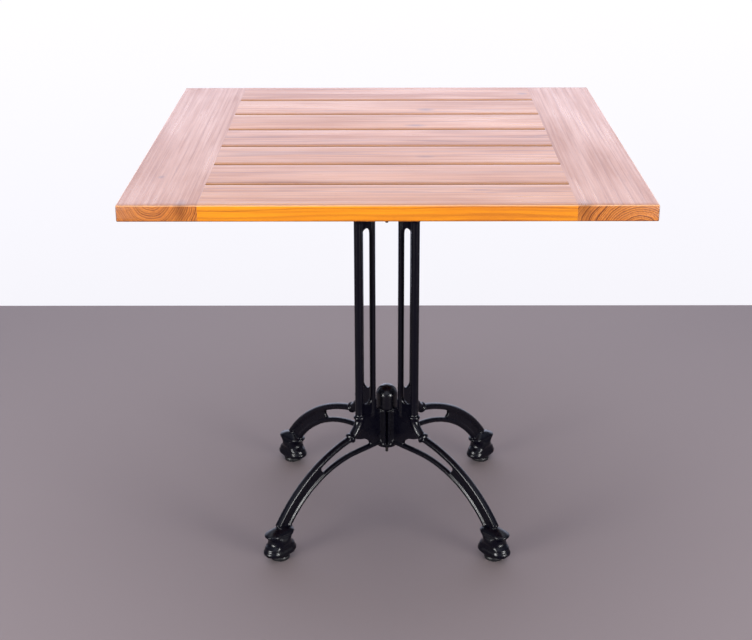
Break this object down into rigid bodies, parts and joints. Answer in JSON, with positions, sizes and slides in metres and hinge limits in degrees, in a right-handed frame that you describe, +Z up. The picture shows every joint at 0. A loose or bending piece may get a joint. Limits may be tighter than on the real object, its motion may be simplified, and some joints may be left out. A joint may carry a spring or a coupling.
{
  "type": "bistro table",
  "caption": "Square slatted hardwood table top on a black cast iron base with ribbed column, arched legs and oval feet.",
  "frame": {"origin": "on the floor, under the middle of the square top", "axes": "+X along the slats, +Y across them towards the rear edge, +Z up"},
  "size_m": [0.8, 0.8, 0.722],
  "materials": {
    "timber": "oiled tropical hardwood slat, satin",
    "end_board": "oiled tropical hardwood breadboard end, satin",
    "batten_timber": "planed, unfinished",
    "black_iron": "black gloss enamel over cast iron",
    "zinc": "zinc plated",
    "nylon": "black nylon"
  },
  "bodies": {
    "frame": {"side_board_left": "end_board", "batten_left": "batten_timber", "side_board_right": "end_board", "batten_right": "batten_timber", "slat_1": "timber", "slat_screw_left_1": "zinc", "slat_screw_right_1": "zinc", "slat_2": "timber", "slat_screw_left_2": "zinc", "slat_screw_right_2": "zinc", "slat_3": "timber", "slat_screw_left_3": "zinc", "slat_screw_right_3": "zinc", "slat_4": "timber", "slat_screw_left_4": "zinc", "slat_screw_right_4": "zinc", "slat_5": "timber", "slat_screw_left_5": "zinc", "slat_screw_right_5": "zinc", "slat_6": "timber", "slat_screw_left_6": "zinc", "slat_screw_right_6": "zinc", "slat_7": "timber", "slat_screw_left_7": "zinc", "slat_screw_right_7": "zinc", "leg_casting_front_right": "black_iron", "leg_casting_rear_right": "black_iron", "leg_casting_rear_left": "black_iron", "leg_casting_front_left": "black_iron", "pad_screw_front_left_outer": "zinc", "pad_screw_front_left_inner": "zinc", "pad_screw_front_right_outer": "zinc", "pad_screw_front_right_inner": "zinc", "pad_screw_rear_left_outer": "zinc", "pad_screw_rear_left_inner": "zinc", "pad_screw_rear_right_outer": "zinc", "pad_screw_rear_right_inner": "zinc", "finial_cap_nut": "black_iron", "lower_tie_rod": "zinc", "lower_washer": "zinc", "lower_nut": "zinc", "upper_top_washer": "zinc", "upper_bolt": "zinc", "upper_bottom_washer": "zinc", "upper_nut": "zinc"},
    "glide_front_right_body": {"glide_front_right": "nylon"},
    "glide_rear_right_body": {"glide_rear_right": "nylon"},
    "glide_rear_left_body": {"glide_rear_left": "nylon"},
    "glide_front_left_body": {"glide_front_left": "nylon"}
  },
  "joints": [
    {"name": "glide_front_right_screw", "type": "slide", "parent": "frame", "child": "glide_front_right_body", "axis": [0, 0, -1], "range_m": [0, 0.008]},
    {"name": "glide_rear_right_screw", "type": "slide", "parent": "frame", "child": "glide_rear_right_body", "axis": [0, 0, -1], "range_m": [0, 0.008]},
    {"name": "glide_rear_left_screw", "type": "slide", "parent": "frame", "child": "glide_rear_left_body", "axis": [0, 0, -1], "range_m": [0, 0.008]},
    {"name": "glide_front_left_screw", "type": "slide", "parent": "frame", "child": "glide_front_left_body", "axis": [0, 0, -1], "range_m": [0, 0.008]}
  ]
}
